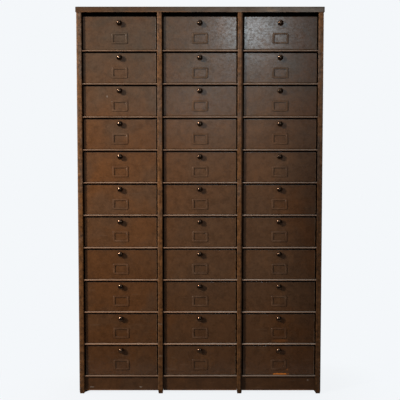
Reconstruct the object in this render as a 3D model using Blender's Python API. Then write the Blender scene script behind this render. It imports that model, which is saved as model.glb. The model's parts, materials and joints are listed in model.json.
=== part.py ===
"""Filing cabinet with thirty-three drop flaps, folded and pressed from sheet steel.

Units are metres. +X is to the right of a person who faces the flaps, +Y runs to the back and +Z up.
Depths named d are measured from the stile fronts towards the back.
"""

import math

import bmesh
import bpy

# Overall sizes
WIDTH = 1.254
HEIGHT = 1.992
DEPTH = 0.360
COLUMNS = ("left", "centre", "right")
ROWS = 11
BASE_SHELF_TOP = 0.0945
HEAD_ROOM = 0.0225

# Sheet thicknesses
CARCASS_SHEET = 0.0012
STILE_SHEET = 0.0015
SHELF_SHEET = 0.0010
FLAP_SHEET = 0.0010

# Clearances
SEAT = 0.0003
SWING_GAP = 0.0006
STOP_GAP = 0.0004
FLAP_SIDE_GAP = 0.0050
FLAP_TOP_GAP = 0.0068
CAP_SLOT = 0.0200

# Stiles and their shoes
STILE_WIDTH = 0.0265
STILE_DEPTH = 0.030
STILE_CORNER = 0.0050
SHOE_HEIGHT = 0.021
SHOE_TOE_WIDTH = 0.021
SHOE_TOE_DEPTH = 0.024
SHOE_STEP = 0.0002

# Cap, side panels and back
CAP_FASCIA = 0.027
CAP_OVERHANG = 0.003
CAP_CORNER = 0.0025
SIDE_RETURN = 0.014

# Shelves, head rail and plinth
LIP_SETBACK = 0.006
LIP_HEIGHT = 0.0062
LIP_ROUND = 0.0025
LIP_HEM = 0.008
SHELF_BACK_FLANGE = 0.012
RAIL_DEPTH = 0.024
RAIL_FLANGE = 0.010
STOP_WIDTH = 0.024
STOP_LAP = 0.007
PLINTH_BOTTOM = 0.013
PLINTH_RETURN = 0.012

# Flaps, with sizes up a flap measured from the top of its shelf
FLAP_RECESS = 0.018
FLAP_RETURN = 0.013
FLAP_CORNER = 0.002
SIDE_RETURN_BOTTOM = 0.012
PIN_RADIUS = 0.0019
PIN_ENGAGEMENT = 0.005
BARREL_BORE = 0.0025
LABEL_WIDTH = 0.083
LABEL_HEIGHT = 0.056
LABEL_BOTTOM = 0.026
LABEL_SIDE_RAIL = 0.0120
LABEL_END_RAIL = 0.0095
LABEL_RAISE = 0.0025
LABEL_CHAMFER = 0.0012
KNOB_HEIGHT = 0.131
KNOB_RADIUS = 0.0145
KNOB_HEAD = 0.016
KNOB_NECK_RADIUS = 0.0055
KNOB_PROJECTION = 0.022
FIRST_ROW_RAISE = 0.006

# Facets
STILE_CORNER_STEPS = 3
LIP_STEPS = 2
FLAP_CORNER_STEPS = 1
BARREL_STEPS = 6
PIN_SIDES = 6
KNOB_SIDES = 10
KNOB_BANDS = 5

# Colours, as linear red, green and blue
FLAP_BROWN = (0.105, 0.066, 0.042)
STILE_BROWN = (0.190, 0.105, 0.058)
CARCASS_BROWN = (0.085, 0.052, 0.033)
LIP_BROWN = (0.170, 0.120, 0.090)

# Places that follow from the sizes above
ROW_PITCH = (HEIGHT - CAP_FASCIA - HEAD_ROOM - BASE_SHELF_TOP) / ROWS
BAY = (WIDTH - (len(COLUMNS) + 1) * STILE_WIDTH) / len(COLUMNS)
FLAP_WIDTH = BAY - 2 * FLAP_SIDE_GAP
BARREL_RADIUS = BARREL_BORE + FLAP_SHEET
PIVOT_D = FLAP_RECESS + BARREL_RADIUS
PIVOT_RISE = BARREL_RADIUS + SWING_GAP
FLAP_BACK_D = FLAP_RECESS + FLAP_RETURN
STOP_D = max(FLAP_BACK_D + STOP_GAP, STILE_DEPTH + SEAT)
UPRIGHT_TOP = HEIGHT - CARCASS_SHEET - SEAT
SIDE_REAR_D = DEPTH - CARCASS_SHEET - SEAT
BACK_REAR_D = SIDE_REAR_D - CARCASS_SHEET - SEAT
SHELF_REAR_D = BACK_REAR_D - CARCASS_SHEET - SEAT
HALF_LAP_D = (STILE_DEPTH + SHELF_REAR_D) / 2
SIDE_OUTER_X = WIDTH / 2 - STILE_SHEET - SEAT
INNER_X = SIDE_OUTER_X - CARCASS_SHEET - SEAT
FRONT_Y = (KNOB_PROJECTION - FLAP_RECESS - DEPTH) / 2


def shelf_top(row):
    """Height of the shelf under a row of flaps, counted from the top row, 1."""
    return BASE_SHELF_TOP + (ROWS - row) * ROW_PITCH


def flap_top(row):
    """Top edge of a closed flap. The first row closes under the cap, the others under a shelf's lip."""
    if row == 1:
        return HEIGHT - CAP_FASCIA - CAP_SLOT
    return shelf_top(row - 1) - LIP_HEIGHT - FLAP_TOP_GAP


def stile_x(index):
    """Middle of a stile, counted from the left, 0."""
    return -WIDTH / 2 + STILE_WIDTH / 2 + index * (BAY + STILE_WIDTH)


def bay_x(column):
    """Middle of a column of flaps, counted from the left, 0."""
    return stile_x(column) + (STILE_WIDTH + BAY) / 2


def new_material(name, colour, roughness, metallic):
    material = bpy.data.materials.new(name)
    material.use_nodes = True
    shader = material.node_tree.nodes["Principled BSDF"]
    shader.inputs["Base Color"].default_value = (*colour, 1.0)
    shader.inputs["Roughness"].default_value = roughness
    shader.inputs["Metallic"].default_value = metallic
    material.diffuse_color = (*colour, 1.0)
    return material


def make_object(name, bm, location=(0.0, 0.0, 0.0)):
    """Turns a bmesh into an object, with every face outward."""
    bmesh.ops.recalc_face_normals(bm, faces=bm.faces)
    mesh = bpy.data.meshes.new(name)
    bm.to_mesh(mesh)
    bm.free()
    made = bpy.data.objects.new(name, mesh)
    made.location = location
    bpy.context.scene.collection.objects.link(made)
    return made


def finish(made, material, parent):
    made.data.materials.clear()
    made.data.materials.append(material)
    made.parent = parent
    return made


def apply_boolean(target, tool_bm, operation):
    """Cuts or joins a bmesh that shares the target's own coordinates."""
    tool = make_object("tool", tool_bm, target.location)
    modifier = target.modifiers.new("boolean", "BOOLEAN")
    modifier.operation = operation
    modifier.solver = "EXACT"
    modifier.object = tool
    bpy.context.view_layer.update()
    evaluated = target.evaluated_get(bpy.context.evaluated_depsgraph_get())
    mesh = bpy.data.meshes.new_from_object(evaluated)
    target.modifiers.clear()
    plain = target.data
    target.data = mesh
    bpy.data.meshes.remove(plain)
    mesh.name = target.name
    tool_mesh = tool.data
    bpy.data.objects.remove(tool)
    bpy.data.meshes.remove(tool_mesh)


def add_box(bm, low, high):
    """Adds a closed box between two corners."""
    size = [b - a for a, b in zip(low, high)]
    middle = [(a + b) / 2 for a, b in zip(low, high)]
    corners = bmesh.ops.create_cube(bm, size=1.0)["verts"]
    bmesh.ops.scale(bm, vec=size, verts=corners)
    bmesh.ops.translate(bm, vec=middle, verts=corners)


def add_loft(bm, rings):
    """Adds a closed solid through rings of equal length."""
    loops = [[bm.verts.new(point) for point in ring] for ring in rings]
    count = len(loops[0])
    for low, high in zip(loops, loops[1:]):
        for i in range(count):
            j = (i + 1) % count
            bm.faces.new((low[i], low[j], high[j], high[i]))
    bm.faces.new(loops[0][::-1])
    bm.faces.new(loops[-1])


def add_prism_x(bm, outline, x_start, x_end):
    """Adds an outline of (y, z) points drawn out along X."""
    add_loft(bm, [[(x, y, z) for y, z in outline] for x in (x_start, x_end)])


def add_prism_z(bm, outline, z_start, z_end):
    """Adds an outline of (x, y) points drawn out along Z."""
    add_loft(bm, [[(x, y, z) for x, y in outline] for z in (z_start, z_end)])


def arc(centre, radius, start, end, steps):
    """Points on an arc in a plane, with both ends, angles in degrees."""
    points = []
    for i in range(steps + 1):
        angle = math.radians(start + (end - start) * i / steps)
        points.append((centre[0] + radius * math.cos(angle), centre[1] + radius * math.sin(angle)))
    return points


def placed(outline, dx, dy):
    return [(x + dx, y + dy) for x, y in outline]


def stile_outline(slot_left, slot_right):
    """C-section round the front edge of an upright sheet, open at the back between the slot's sides."""
    half = STILE_WIDTH / 2
    inner = half - STILE_SHEET
    lip = STILE_DEPTH - STILE_SHEET
    inside = STILE_CORNER - STILE_SHEET
    left_bend = (-half + STILE_CORNER, STILE_CORNER)
    right_bend = (half - STILE_CORNER, STILE_CORNER)
    points = [(-half, STILE_DEPTH)]
    points += arc(left_bend, STILE_CORNER, 180, 270, STILE_CORNER_STEPS)
    points += arc(right_bend, STILE_CORNER, 270, 360, STILE_CORNER_STEPS)
    points.append((half, STILE_DEPTH))
    if slot_right < inner:
        points += [(slot_right, STILE_DEPTH), (slot_right, lip), (inner, lip)]
    else:
        points.append((inner, STILE_DEPTH))
    points += arc(right_bend, inside, 360, 270, STILE_CORNER_STEPS)
    points += arc(left_bend, inside, 270, 180, STILE_CORNER_STEPS)
    if slot_left > -inner:
        points += [(-inner, lip), (slot_left, lip), (slot_left, STILE_DEPTH)]
    else:
        points.append((-inner, STILE_DEPTH))
    return points


def shoe_ring(width, depth, z, x_middle):
    """Outline of the shoe at one height, its back set in by half of what its front is."""
    inset = STILE_DEPTH - depth
    half = width / 2
    front = FRONT_Y + SHOE_STEP + inset * 2 / 3
    back = FRONT_Y + STILE_DEPTH - SHOE_STEP - inset / 3
    return [
        (x_middle - half, front, z),
        (x_middle + half, front, z),
        (x_middle + half, back, z),
        (x_middle - half, back, z),
    ]


def make_stile(name, index):
    """A stile with its shoe at the floor and a pivot pin on each side that faces a flap."""
    x_middle = stile_x(index)
    half = STILE_WIDTH / 2
    first = index == 0
    last = index == len(COLUMNS)
    slot = CARCASS_SHEET / 2 + SEAT
    wide = CARCASS_SHEET + 2 * SEAT
    inner = half - STILE_SHEET
    slot_left = -inner if first else inner - wide if last else -slot
    slot_right = -inner + wide if first else inner if last else slot

    bm = bmesh.new()
    outline = placed(stile_outline(slot_left, slot_right), x_middle, FRONT_Y)
    add_prism_z(bm, outline, SHOE_HEIGHT, UPRIGHT_TOP)
    stile = make_object(name, bm)

    shoe = bmesh.new()
    middle_width = STILE_WIDTH - (STILE_WIDTH - SHOE_TOE_WIDTH) / 3
    middle_depth = STILE_DEPTH - (STILE_DEPTH - SHOE_TOE_DEPTH) / 3
    rings = [
        shoe_ring(SHOE_TOE_WIDTH, SHOE_TOE_DEPTH, 0.0, x_middle),
        shoe_ring(middle_width, middle_depth, SHOE_HEIGHT / 2, x_middle),
        shoe_ring(STILE_WIDTH - 2 * SHOE_STEP, STILE_DEPTH, SHOE_HEIGHT + STILE_SHEET, x_middle),
    ]
    add_loft(shoe, rings)
    apply_boolean(stile, shoe, "UNION")

    pins = bmesh.new()
    sides = [side for side in (-1, 1) if not (first and side < 0) and not (last and side > 0)]
    for side in sides:
        start = x_middle + side * (half - STILE_SHEET / 2)
        end = x_middle + side * (half + FLAP_SIDE_GAP + PIN_ENGAGEMENT)
        for row in range(1, ROWS + 1):
            centre = (FRONT_Y + PIVOT_D, shelf_top(row) + PIVOT_RISE)
            turn = 360 / PIN_SIDES
            add_prism_x(pins, arc(centre, PIN_RADIUS, 0, 360 - turn, PIN_SIDES - 1), start, end)
    apply_boolean(stile, pins, "UNION")
    return stile


def make_side_panel(name, side):
    """A side sheet with its back edge turned in, cut away in front for the stile's shoe."""
    outer = side * SIDE_OUTER_X
    inner = side * (SIDE_OUTER_X - CARCASS_SHEET)
    turned = side * (SIDE_OUTER_X - SIDE_RETURN)
    front = STILE_CORNER + SEAT
    outline = [
        (outer, front),
        (outer, SIDE_REAR_D),
        (turned, SIDE_REAR_D),
        (turned, SIDE_REAR_D - CARCASS_SHEET),
        (inner, SIDE_REAR_D - CARCASS_SHEET),
        (inner, front),
    ]
    bm = bmesh.new()
    add_prism_z(bm, placed(outline, 0.0, FRONT_Y), 0.0, UPRIGHT_TOP)
    panel = make_object(name, bm)
    notch = bmesh.new()
    shoe_top = SHOE_HEIGHT + STILE_SHEET + SEAT
    low = (min(outer, inner) - CARCASS_SHEET, FRONT_Y - STILE_SHEET, -SHOE_HEIGHT)
    high = (max(outer, inner) + CARCASS_SHEET, FRONT_Y + STILE_DEPTH + SEAT, shoe_top)
    add_box(notch, low, high)
    apply_boolean(panel, notch, "DIFFERENCE")
    return panel


def make_partition(name, index):
    """A dividing sheet with a half-lap slot for each shelf and a notch for the head rail."""
    front = STILE_SHEET + SEAT
    shoe_back = STILE_DEPTH + SEAT
    shoe_top = SHOE_HEIGHT + STILE_SHEET + SEAT
    rail_bottom = UPRIGHT_TOP - RAIL_FLANGE - SEAT
    points = [
        (shoe_back, 0.0),
        (SHELF_REAR_D, 0.0),
        (SHELF_REAR_D, UPRIGHT_TOP),
        (STOP_D + RAIL_DEPTH + SEAT, UPRIGHT_TOP),
        (STOP_D + RAIL_DEPTH + SEAT, rail_bottom),
        (STOP_D - SEAT, rail_bottom),
        (STOP_D - SEAT, UPRIGHT_TOP),
        (front, UPRIGHT_TOP),
    ]
    for row in range(1, ROWS + 1):
        high = shelf_top(row) + SEAT
        low = shelf_top(row) - SHELF_SHEET - SEAT
        deep = HALF_LAP_D + SEAT
        points += [(front, high), (deep, high), (deep, low), (front, low)]
    points += [(front, shoe_top), (shoe_back, shoe_top)]
    bm = bmesh.new()
    x_middle = stile_x(index)
    half = CARCASS_SHEET / 2
    add_prism_x(bm, placed(points, FRONT_Y, 0.0), x_middle - half, x_middle + half)
    return make_object(name, bm)


def make_back_panel(name):
    bm = bmesh.new()
    front = FRONT_Y + BACK_REAR_D - CARCASS_SHEET
    add_box(bm, (-INNER_X, front, PLINTH_BOTTOM), (INNER_X, FRONT_Y + BACK_REAR_D, UPRIGHT_TOP))
    return make_object(name, bm)


def make_cap(name):
    """A shallow lid with its rims turned down and its upper edges rounded."""
    bm = bmesh.new()
    half = WIDTH / 2 + CAP_OVERHANG
    front = FRONT_Y - CAP_OVERHANG
    add_box(bm, (-half, front, HEIGHT - CAP_FASCIA), (half, FRONT_Y + DEPTH, HEIGHT))
    upper = [edge for edge in bm.edges if all(v.co.z > HEIGHT - CAP_FASCIA / 2 for v in edge.verts)]
    bmesh.ops.bevel(bm, geom=upper, offset=CAP_CORNER, segments=2, profile=0.5, affect="EDGES")
    cap = make_object(name, bm)
    hollow = bmesh.new()
    low = (-half + CARCASS_SHEET, front + CARCASS_SHEET, HEIGHT - 2 * CAP_FASCIA)
    high = (half - CARCASS_SHEET, FRONT_Y + DEPTH - CARCASS_SHEET, HEIGHT - CARCASS_SHEET)
    add_box(hollow, low, high)
    apply_boolean(cap, hollow, "DIFFERENCE")
    return cap


def add_stops(bm, root_z, tip_z):
    """Adds the tongue that each closed flap of a row comes to rest against."""
    for column in range(len(COLUMNS)):
        x = bay_x(column)
        low = (x - STOP_WIDTH / 2, FRONT_Y + STOP_D, tip_z)
        high = (x + STOP_WIDTH / 2, FRONT_Y + STOP_D + SHELF_SHEET, root_z)
        add_box(bm, low, high)


def make_head_rail(name):
    """A flat rail under the cap that ties the partitions and carries the first row's stops."""
    outline = [
        (STOP_D, UPRIGHT_TOP),
        (STOP_D, UPRIGHT_TOP - CARCASS_SHEET),
        (STOP_D + RAIL_DEPTH - CARCASS_SHEET, UPRIGHT_TOP - CARCASS_SHEET),
        (STOP_D + RAIL_DEPTH - CARCASS_SHEET, UPRIGHT_TOP - RAIL_FLANGE),
        (STOP_D + RAIL_DEPTH, UPRIGHT_TOP - RAIL_FLANGE),
        (STOP_D + RAIL_DEPTH, UPRIGHT_TOP),
    ]
    bm = bmesh.new()
    add_prism_x(bm, placed(outline, FRONT_Y, 0.0), -INNER_X, INNER_X)
    rail = make_object(name, bm)
    stops = bmesh.new()
    add_stops(stops, UPRIGHT_TOP - CARCASS_SHEET / 2, flap_top(1) - STOP_LAP)
    apply_boolean(rail, stops, "UNION")
    return rail


def shelf_outline(top):
    """Section of a shelf from its hemmed front lip to its turned-down back edge."""
    under = top - SHELF_SHEET
    lip = top - LIP_HEIGHT
    rear = SHELF_REAR_D
    front = LIP_SETBACK
    round_nose = arc((front + LIP_ROUND, top - LIP_ROUND), LIP_ROUND, 90, 180, LIP_STEPS)
    return round_nose + [
        (front, lip),
        (front + LIP_HEM, lip),
        (front + LIP_HEM, lip + SHELF_SHEET),
        (front + SHELF_SHEET, lip + SHELF_SHEET),
        (front + SHELF_SHEET, top - LIP_ROUND),
        (front + LIP_ROUND, under),
        (rear - SHELF_SHEET, under),
        (rear - SHELF_SHEET, top - SHELF_BACK_FLANGE),
        (rear, top - SHELF_BACK_FLANGE),
        (rear, top),
    ]


def make_shelf(name, row):
    """A shelf right across the cabinet, notched round the stiles and half-lapped with the partitions."""
    top = shelf_top(row)
    bm = bmesh.new()
    add_prism_x(bm, placed(shelf_outline(top), FRONT_Y, 0.0), -INNER_X, INNER_X)
    shelf = make_object(name, bm)

    cuts = bmesh.new()
    low_z = top - 2 * SHELF_BACK_FLANGE
    high_z = top + SHELF_BACK_FLANGE
    for index in range(len(COLUMNS) + 1):
        x = stile_x(index)
        half = STILE_WIDTH / 2 + SEAT
        front = FRONT_Y - LIP_HEM
        add_box(cuts, (x - half, front, low_z), (x + half, FRONT_Y + STILE_DEPTH + SEAT, high_z))
        if 0 < index < len(COLUMNS):
            half = CARCASS_SHEET / 2 + SEAT
            rear = FRONT_Y + SHELF_REAR_D + LIP_HEM
            add_box(cuts, (x - half, FRONT_Y + HALF_LAP_D, low_z), (x + half, rear, high_z))
    apply_boolean(shelf, cuts, "DIFFERENCE")

    if row < ROWS:
        stops = bmesh.new()
        add_stops(stops, top - SHELF_SHEET / 2, flap_top(row + 1) - STOP_LAP)
        apply_boolean(shelf, stops, "UNION")
    return shelf


def make_plinth(name, column):
    """A channel that closes the base of one column between its stiles."""
    front = FLAP_RECESS
    back = FLAP_RECESS + PLINTH_RETURN
    low = PLINTH_BOTTOM
    high = BASE_SHELF_TOP - SHELF_SHEET - SEAT
    outline = [
        (front, low),
        (front, high),
        (back, high),
        (back, high - CARCASS_SHEET),
        (front + CARCASS_SHEET, high - CARCASS_SHEET),
        (front + CARCASS_SHEET, low + CARCASS_SHEET),
        (back, low + CARCASS_SHEET),
        (back, low),
    ]
    bm = bmesh.new()
    x = bay_x(column)
    half = BAY / 2 - SEAT
    add_prism_x(bm, placed(outline, FRONT_Y, 0.0), x - half, x + half)
    return make_object(name, bm)


def flap_outline(height):
    """Section of a flap about its pivot: top return, face, and lower edge rolled into the barrel."""
    face = -BARREL_RADIUS
    back = face + FLAP_RETURN
    bend = (face + FLAP_CORNER, height - FLAP_CORNER)
    points = arc(bend, FLAP_CORNER, 180, 90, FLAP_CORNER_STEPS)
    points += [(back, height), (back, height - FLAP_SHEET)]
    points += arc(bend, FLAP_CORNER - FLAP_SHEET, 90, 180, FLAP_CORNER_STEPS)
    points += arc((0.0, 0.0), BARREL_BORE, 180, 450, BARREL_STEPS)
    points += arc((0.0, 0.0), BARREL_RADIUS, 450, 180, BARREL_STEPS)
    return points


def add_flap_sides(bm, height):
    """Adds the turned-back ends of a flap, sunk half a sheet into its face and top return."""
    sunk = FLAP_SHEET / 2
    face = -BARREL_RADIUS
    for side in (-1, 1):
        outer = side * (FLAP_WIDTH / 2 - sunk / 2)
        inner = outer - side * FLAP_SHEET
        low = (min(outer, inner), face + sunk, SIDE_RETURN_BOTTOM - PIVOT_RISE)
        high = (max(outer, inner), face + FLAP_RETURN - sunk, height - sunk)
        add_box(bm, low, high)


def fitting_raise(row):
    """How much higher the fittings sit on the taller flaps of the first row."""
    return FIRST_ROW_RAISE if row == 1 else 0.0


def add_label_holder(bm, row):
    """Adds the raised frame that takes a label card, with sloping rims."""
    face = -BARREL_RADIUS
    base = face + FLAP_SHEET / 2
    proud = face - LABEL_RAISE
    middle = LABEL_BOTTOM + LABEL_HEIGHT / 2 + fitting_raise(row) - PIVOT_RISE

    def ring(half_width, half_height, y):
        corners = ((-1, -1), (1, -1), (1, 1), (-1, 1))
        return [bm.verts.new((a * half_width, y, middle + b * half_height)) for a, b in corners]

    outer_x = LABEL_WIDTH / 2
    outer_z = LABEL_HEIGHT / 2
    inner_x = outer_x - LABEL_SIDE_RAIL
    inner_z = outer_z - LABEL_END_RAIL
    loops = [
        ring(outer_x, outer_z, base),
        ring(outer_x - LABEL_CHAMFER, outer_z - LABEL_CHAMFER, proud),
        ring(inner_x + LABEL_CHAMFER, inner_z + LABEL_CHAMFER, proud),
        ring(inner_x, inner_z, base),
    ]
    for a, b in zip(loops, loops[1:] + loops[:1]):
        for i in range(4):
            j = (i + 1) % 4
            bm.faces.new((a[i], a[j], b[j], b[i]))


def add_knob(bm, row):
    """Adds a turned knob with a flattened ball on its neck, square to the flap's face."""
    face = -BARREL_RADIUS
    up = KNOB_HEIGHT + fitting_raise(row) - PIVOT_RISE
    deep = KNOB_HEAD / 2
    ball = face - KNOB_PROJECTION + deep
    foot = math.degrees(math.asin(KNOB_NECK_RADIUS / KNOB_RADIUS))
    profile = [(face + FLAP_SHEET / 2, KNOB_NECK_RADIUS)]
    for i in range(KNOB_BANDS):
        angle = math.radians(foot + (180 - foot) * i / KNOB_BANDS)
        profile.append((ball + deep * math.cos(angle), KNOB_RADIUS * math.sin(angle)))
    rings = []
    for y, radius in profile:
        turn = 360 / KNOB_SIDES
        circle = arc((0.0, up), radius, turn / 2, 360 - turn / 2, KNOB_SIDES - 1)
        rings.append([(x, y, z) for x, z in circle])
    add_loft(bm, rings)
    tip = bmesh.ops.poke(bm, faces=bm.faces[-1:])["verts"][0]
    tip.co.y = ball - deep


def make_flap(name, column, row):
    """A drop flap whose origin lies on its hinge axis."""
    bm = bmesh.new()
    height = flap_top(row) - shelf_top(row) - PIVOT_RISE
    add_prism_x(bm, flap_outline(height), -FLAP_WIDTH / 2, FLAP_WIDTH / 2)
    pivot = (bay_x(column), FRONT_Y + PIVOT_D, shelf_top(row) + PIVOT_RISE)
    flap = make_object(name, bm, pivot)
    fittings = bmesh.new()
    add_knob(fittings, row)
    add_flap_sides(fittings, height)
    add_label_holder(fittings, row)
    apply_boolean(flap, fittings, "UNION")
    return flap


def build():
    for old in list(bpy.data.objects):
        bpy.data.objects.remove(old, do_unlink=True)
    cabinet = bpy.data.objects.new("filing_cabinet", None)
    bpy.context.scene.collection.objects.link(cabinet)

    carcass_enamel = new_material("carcass_enamel", CARCASS_BROWN, 0.5, 0.0)
    stile_enamel = new_material("stile_enamel", STILE_BROWN, 0.45, 0.0)
    shelf_enamel = new_material("shelf_enamel", LIP_BROWN, 0.45, 0.0)
    flap_enamel = new_material("flap_enamel", FLAP_BROWN, 0.38, 0.0)

    finish(make_cap("top_cap"), carcass_enamel, cabinet)
    finish(make_head_rail("head_rail"), carcass_enamel, cabinet)
    finish(make_back_panel("back_panel"), carcass_enamel, cabinet)
    for side_name, side in (("left", -1), ("right", 1)):
        finish(make_side_panel(side_name + "_side_panel", side), carcass_enamel, cabinet)
    for index, side_name in ((1, "left"), (2, "right")):
        finish(make_partition(side_name + "_partition", index), carcass_enamel, cabinet)
    for index, place in enumerate(("left", "centre_left", "centre_right", "right")):
        finish(make_stile(place + "_stile", index), stile_enamel, cabinet)
    for row in range(1, ROWS + 1):
        finish(make_shelf(f"shelf_{row:02d}", row), shelf_enamel, cabinet)
    for column, place in enumerate(COLUMNS):
        finish(make_plinth(place + "_plinth", column), carcass_enamel, cabinet)
        for row in range(1, ROWS + 1):
            finish(make_flap(f"{place}_flap_{row:02d}", column, row), flap_enamel, cabinet)


build()
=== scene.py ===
"""Looks of a flap-front filing cabinet in worn brown stove enamel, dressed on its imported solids."""
import json
import math
import random

import bmesh
import bpy
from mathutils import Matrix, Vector


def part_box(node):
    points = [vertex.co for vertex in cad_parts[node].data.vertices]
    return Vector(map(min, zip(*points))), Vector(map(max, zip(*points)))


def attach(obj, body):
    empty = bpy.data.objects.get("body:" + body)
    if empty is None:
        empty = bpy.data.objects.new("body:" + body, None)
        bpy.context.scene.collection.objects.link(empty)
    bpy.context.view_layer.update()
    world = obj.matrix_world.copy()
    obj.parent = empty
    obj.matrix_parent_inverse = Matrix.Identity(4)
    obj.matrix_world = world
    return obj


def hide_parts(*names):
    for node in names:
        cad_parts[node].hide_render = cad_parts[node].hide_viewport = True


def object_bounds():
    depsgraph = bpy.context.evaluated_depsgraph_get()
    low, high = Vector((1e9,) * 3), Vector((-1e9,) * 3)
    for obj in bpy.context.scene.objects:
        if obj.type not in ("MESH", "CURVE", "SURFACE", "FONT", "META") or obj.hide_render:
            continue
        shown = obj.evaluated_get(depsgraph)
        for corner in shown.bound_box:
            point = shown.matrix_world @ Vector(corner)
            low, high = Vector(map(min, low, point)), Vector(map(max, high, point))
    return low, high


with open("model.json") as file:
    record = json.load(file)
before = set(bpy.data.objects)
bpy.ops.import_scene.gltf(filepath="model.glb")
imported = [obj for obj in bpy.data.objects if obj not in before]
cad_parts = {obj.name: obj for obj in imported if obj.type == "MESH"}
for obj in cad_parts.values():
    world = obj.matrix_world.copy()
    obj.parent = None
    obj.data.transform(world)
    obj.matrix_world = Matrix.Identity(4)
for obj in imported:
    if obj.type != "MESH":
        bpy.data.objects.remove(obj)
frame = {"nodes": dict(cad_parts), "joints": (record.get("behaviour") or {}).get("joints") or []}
cad_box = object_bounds()

# Camera, fitted to the shelf lips and the outline in the photograph
PHOTO_SIDE = 400
SENSOR_WIDTH = 36.0
FOCAL_PIXELS = 1086.0
CAMERA_AWAY = 5.549
CAMERA_HEIGHT = 1.484
CAMERA_PITCH = 0.0849
CAMERA_REACH = 60.0

# The cabinet's grid
COLUMNS = ("left", "centre", "right")
ROWS = 11
STILE_NAMES = ("left_stile", "centre_left_stile", "centre_right_stile", "right_stile")

# Flap pressing
FLAP_SHEET = 0.001
BARREL_RADIUS = 0.0035
BARREL_STEPS = 12
PIVOT_RISE = 0.0041
BEND_RADIUS = 0.002
BEND_STEPS = 4
FLAP_CORNER = 0.0042
CORNER_STEPS = 4
FACE_MARGIN = 0.0015
FLAP_RETURN = 0.0125
RETURN_NOTCH = 0.009
FOOT_STRIP = 0.003

# Knob and label holder
KNOB_HEIGHT = 0.131
KNOB_RADIUS = 0.0145
KNOB_HEAD = 0.016
KNOB_NECK = 0.0085
KNOB_PROJECTION = 0.022
KNOB_TIP = 0.00005
KNOB_RINGS = 34
KNOB_SIDES = 24
ROSETTE_RADIUS = 0.0120
ROSETTE_RISE = 0.0045
LABEL_WIDTH = 0.083
LABEL_HEIGHT = 0.056
LABEL_BOTTOM = 0.026
LABEL_SIDE_RAIL = 0.012
LABEL_END_RAIL = 0.0095
LABEL_RAISE = 0.0030
LABEL_SHOULDER = 1.8
LABEL_CORNER = 0.003
LABEL_CORNER_STEPS = 4
LABEL_PROFILE_SIDES = 16
FIRST_ROW_RAISE = 0.006
SUNK = 0.0004

# Angles in degrees above which an edge stays sharp
FLAP_CREASE = 40.0
FITTING_CREASE = 50.0

# Spot welds of the sides and back
WELD_RADIUS = 0.0035
WELD_RISE = 0.0006
WELD_SEGMENTS = 10
WELD_RINGS = 6
WELD_DROP = 0.006
SIDE_WELDS = 6
SIDE_WELD_STEP = 0.058
SIDE_WELD_SETBACK = 0.050
BACK_WELDS = 13
BACK_WELD_INSET = 0.045

# Gussets at the outer feet, as place, side and reach along the foot of the plinth
GUSSETS = (("left", -1, 0.030), ("right", 1, 0.008))
GUSSET_SHEET = 0.0012
GUSSET_FLOOR = 0.0012
GUSSET_STEPS = 10
GUSSET_HOLLOW = 1.6

# Side of a shoe that a gusset meets, as heights and how far they lie inward of the plinth's end
SHOE_SIDE = ((0.0134, -0.0015), (0.0105, -0.0017), (GUSSET_FLOOR, -0.0033))

# Enamel colours, as linear red, green and blue
WARM_ENAMEL = (0.155, 0.060, 0.0185)
COOL_ENAMEL = (0.125, 0.062, 0.030)
DARK_ENAMEL = (0.034, 0.018, 0.009)
OCHRE_RUB = (0.215, 0.092, 0.032)
STILE_WARM = (0.180, 0.074, 0.022)
STILE_COOL = (0.140, 0.090, 0.062)
PALE_RUB_AND_HIGHLIGHT = (0.360, 0.255, 0.185)
BARE_EDGE_AND_HIGHLIGHT = (0.230, 0.155, 0.105)
RUST = (0.520, 0.150, 0.014)
CHIP = (0.520, 0.480, 0.430)
BRONZE = (0.142, 0.090, 0.060)
TARNISH = (0.078, 0.027, 0.009)
INSIDE_SHADE = (0.010, 0.007, 0.005)
GREY_FILM_AND_SHEEN = (0.066, 0.070, 0.058)
DUST_AND_SHEEN = (0.300, 0.280, 0.260)
BACKDROP = (0.905, 0.930, 0.956)
ROOM_LIGHT = (0.970, 0.925, 0.870)
FLOOR_PALE = (0.82, 0.83, 0.84)
FLOOR_DULL = (0.26, 0.26, 0.26)

# Colours of the lamps
WARM_LAMP = (1.0, 0.95, 0.88)
COOL_LAMP = (0.79, 0.92, 1.0)
PALE_LAMP = (0.94, 0.97, 1.0)
WHITE_LAMP = (1.0, 1.0, 1.0)

# Floor
FLOOR_HALF = 2.6
FLOOR_BEFORE = 0.60
FLOOR_BACK = 3.0

# What the enamel finishes share: mottle as noise scale, detail and roughness, and specular levels
ENAMEL_MOTTLE = (34.0, 4.0, 0.62)
GLOSSY_SPECULAR = 0.25
FADED_SPECULAR = 0.22

# How light single pieces are in the same enamel
CAP_TONE = 0.80
PLINTH_TONE = 0.96
# the gussets' tone is painted shade, as they stand back behind the stiles
GUSSET_SHADE_TONE = 0.45
FLAP_TONES = (0.95, 1.05)
FLAP_TONE_SEED = 33

# Marks seen on the front, as a middle (x, z) and a half size; for rust also how dense it is
FLAP_RUST = (
    ((0.417, 0.0985), (0.044, 0.0060), 0.95),
    ((0.420, 0.2750), (0.042, 0.0080), 0.09),
    ((0.428, 0.1240), (0.034, 0.0060), 0.28),
)
FLAP_CHIPS = (((-0.474, 1.541), (0.0022, 0.0055)),)
STILE_CHIPS = (((-0.205, 0.367), (0.013, 0.0022)), ((-0.205, 0.199), (0.013, 0.0022)))
PLINTH_CHIPS = (
    ((-0.309, 0.031), (0.009, 0.0025)),
    ((-0.563, 0.031), (0.014, 0.0022)),
    ((0.562, 0.068), (0.006, 0.003)),
)

low_corner, high_corner = cad_box
front_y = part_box("left_stile")[0].y
shelf_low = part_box(f"shelf_{ROWS:02d}")[1].z
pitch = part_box("shelf_01")[1].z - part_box("shelf_02")[1].z
pivots = {joint["child"]: Vector(joint["pos_m"]) for joint in frame["joints"]}


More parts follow.
